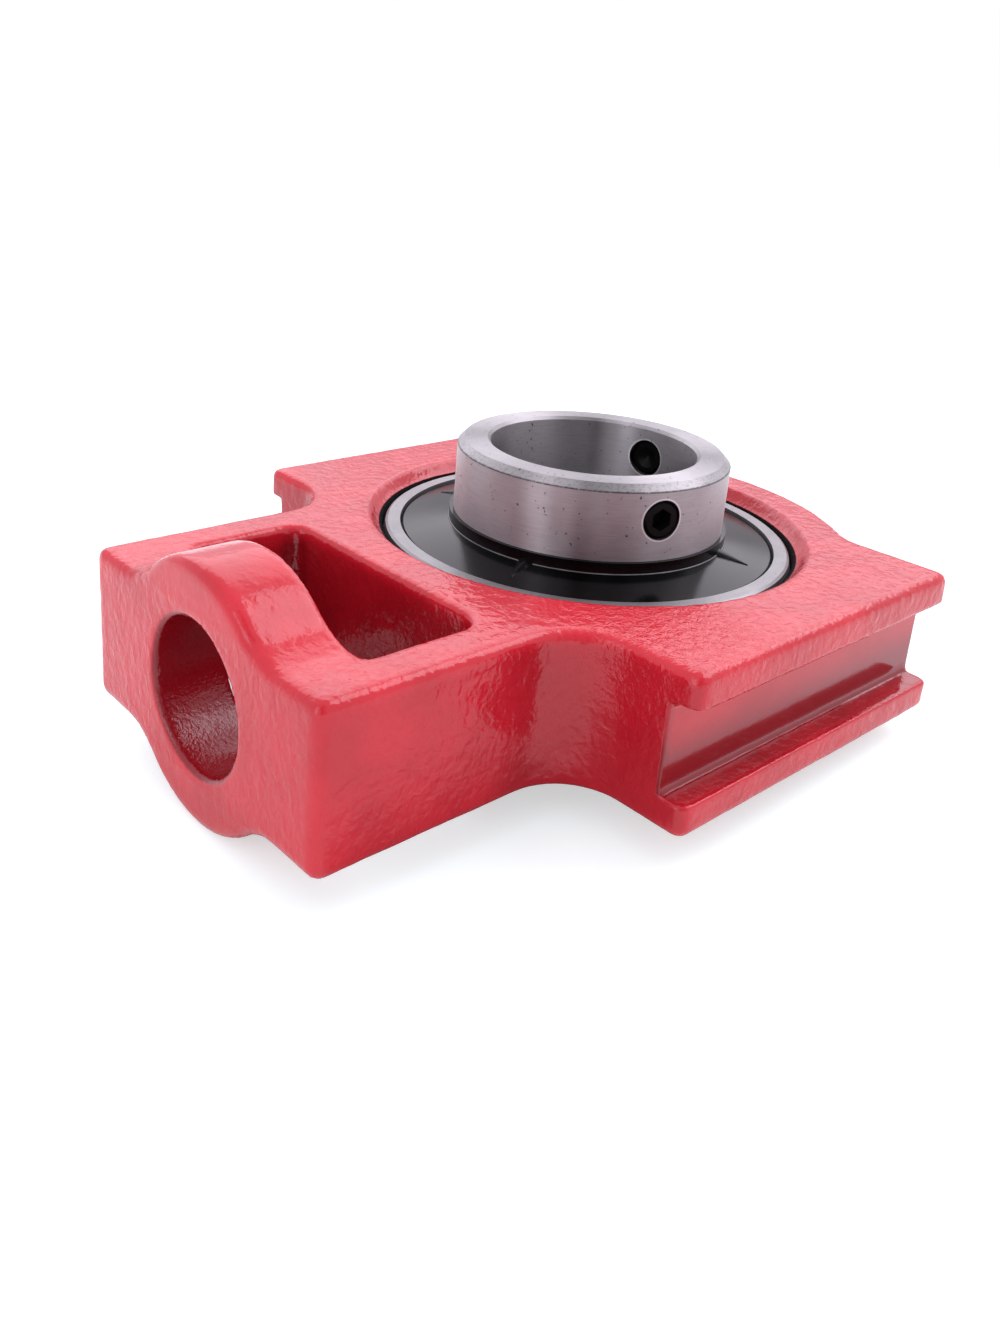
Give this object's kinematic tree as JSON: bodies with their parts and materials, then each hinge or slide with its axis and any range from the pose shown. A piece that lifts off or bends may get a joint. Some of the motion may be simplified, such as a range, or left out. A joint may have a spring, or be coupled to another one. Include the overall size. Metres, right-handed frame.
{
  "type": "take up bearing unit",
  "caption": "Cast take up housing with rail slots, a screw lug with its nut window, and a self-aligning ball bearing insert locked on the shaft by set screws.",
  "frame": {"origin": "centre of the bearing, on the shaft axis in the centre plane of the casting", "axes": "+Z along the shaft to the side with the set screws, +X away from the screw lug along the take up pull, +Y to one rail"},
  "size_m": [0.1985, 0.158, 0.0705],
  "materials": {
    "red_paint": "thick gloss enamel over sand-cast iron",
    "ground_steel": "ground all round",
    "bearing_steel": "fine ground",
    "ball_steel": "lapped and polished",
    "cage_steel": "pressed sheet, oiled",
    "seal_rubber": "matt moulded rubber",
    "black_flinger": "satin black",
    "black_screw": "black oxide",
    "plated_brass": "dull plated"
  },
  "bodies": {
    "housing_body": {"housing": "red_paint", "grease_nipple": "plated_brass"},
    "insert_body": {"outer_ring": "bearing_steel", "seal_front": "seal_rubber", "seal_rear": "seal_rubber"},
    "shaft_body": {"inner_ring": "ground_steel", "flinger_front": "black_flinger", "flinger_rear": "black_flinger"},
    "cage_body": {"cage_front": "cage_steel", "cage_rear": "cage_steel", "cage_rivets": "cage_steel"},
    "ball_01_body": {"ball_01": "ball_steel"},
    "ball_02_body": {"ball_02": "ball_steel"},
    "ball_03_body": {"ball_03": "ball_steel"},
    "ball_04_body": {"ball_04": "ball_steel"},
    "ball_05_body": {"ball_05": "ball_steel"},
    "ball_06_body": {"ball_06": "ball_steel"},
    "ball_07_body": {"ball_07": "ball_steel"},
    "ball_08_body": {"ball_08": "ball_steel"},
    "ball_09_body": {"ball_09": "ball_steel"},
    "ball_10_body": {"ball_10": "ball_steel"},
    "set_screw_1_body": {"set_screw_1": "black_screw"},
    "set_screw_2_body": {"set_screw_2": "black_screw"}
  },
  "joints": [
    {"name": "insert_tilt", "type": "hinge", "parent": "housing_body", "child": "insert_body", "pos_m": [0, 0, 0], "axis": [0, 1, 0], "range_deg": [-3, 3]},
    {"name": "shaft_spin", "type": "hinge", "parent": "insert_body", "child": "shaft_body", "pos_m": [0, 0, 0], "axis": [0, 0, 1], "continuous": true},
    {"name": "cage_orbit", "type": "hinge", "parent": "insert_body", "child": "cage_body", "pos_m": [0, 0, 0], "axis": [0, 0, 1], "continuous": true},
    {"name": "ball_01_roll", "type": "hinge", "parent": "cage_body", "child": "ball_01_body", "pos_m": [0.0425, 0, 0], "axis": [0, 0, 1], "continuous": true},
    {"name": "ball_02_roll", "type": "hinge", "parent": "cage_body", "child": "ball_02_body", "pos_m": [0.03438, 0.02498, 0], "axis": [0, 0, 1], "continuous": true},
    {"name": "ball_03_roll", "type": "hinge", "parent": "cage_body", "child": "ball_03_body", "pos_m": [0.01313, 0.04042, 0], "axis": [0, 0, 1], "continuous": true},
    {"name": "ball_04_roll", "type": "hinge", "parent": "cage_body", "child": "ball_04_body", "pos_m": [-0.01313, 0.04042, 0], "axis": [0, 0, 1], "continuous": true},
    {"name": "ball_05_roll", "type": "hinge", "parent": "cage_body", "child": "ball_05_body", "pos_m": [-0.03438, 0.02498, 0], "axis": [0, 0, 1], "continuous": true},
    {"name": "ball_06_roll", "type": "hinge", "parent": "cage_body", "child": "ball_06_body", "pos_m": [-0.0425, 0, 0], "axis": [0, 0, 1], "continuous": true},
    {"name": "ball_07_roll", "type": "hinge", "parent": "cage_body", "child": "ball_07_body", "pos_m": [-0.03438, -0.02498, 0], "axis": [0, 0, 1], "continuous": true},
    {"name": "ball_08_roll", "type": "hinge", "parent": "cage_body", "child": "ball_08_body", "pos_m": [-0.01313, -0.04042, 0], "axis": [0, 0, 1], "continuous": true},
    {"name": "ball_09_roll", "type": "hinge", "parent": "cage_body", "child": "ball_09_body", "pos_m": [0.01313, -0.04042, 0], "axis": [0, 0, 1], "continuous": true},
    {"name": "ball_10_roll", "type": "hinge", "parent": "cage_body", "child": "ball_10_body", "pos_m": [0.03438, -0.02498, 0], "axis": [0, 0, 1], "continuous": true},
    {"name": "set_screw_1_travel", "type": "slide", "parent": "shaft_body", "child": "set_screw_1_body", "axis": [-0.9914, -0.1305, 0], "range_m": [-0.004, 0.002]},
    {"name": "set_screw_2_travel", "type": "slide", "parent": "shaft_body", "child": "set_screw_2_body", "axis": [0.3173, 0.9483, 0], "range_m": [-0.004, 0.002]}
  ],
  "couplings": [
    {"joint": "cage_orbit", "follows": "shaft_spin", "ratio": 0.40662},
    {"joint": "ball_01_roll", "follows": "shaft_spin", "ratio": -2.5838},
    {"joint": "ball_02_roll", "follows": "shaft_spin", "ratio": -2.5838},
    {"joint": "ball_03_roll", "follows": "shaft_spin", "ratio": -2.5838},
    {"joint": "ball_04_roll", "follows": "shaft_spin", "ratio": -2.5838},
    {"joint": "ball_05_roll", "follows": "shaft_spin", "ratio": -2.5838},
    {"joint": "ball_06_roll", "follows": "shaft_spin", "ratio": -2.5838},
    {"joint": "ball_07_roll", "follows": "shaft_spin", "ratio": -2.5838},
    {"joint": "ball_08_roll", "follows": "shaft_spin", "ratio": -2.5838},
    {"joint": "ball_09_roll", "follows": "shaft_spin", "ratio": -2.5838},
    {"joint": "ball_10_roll", "follows": "shaft_spin", "ratio": -2.5838}
  ]
}
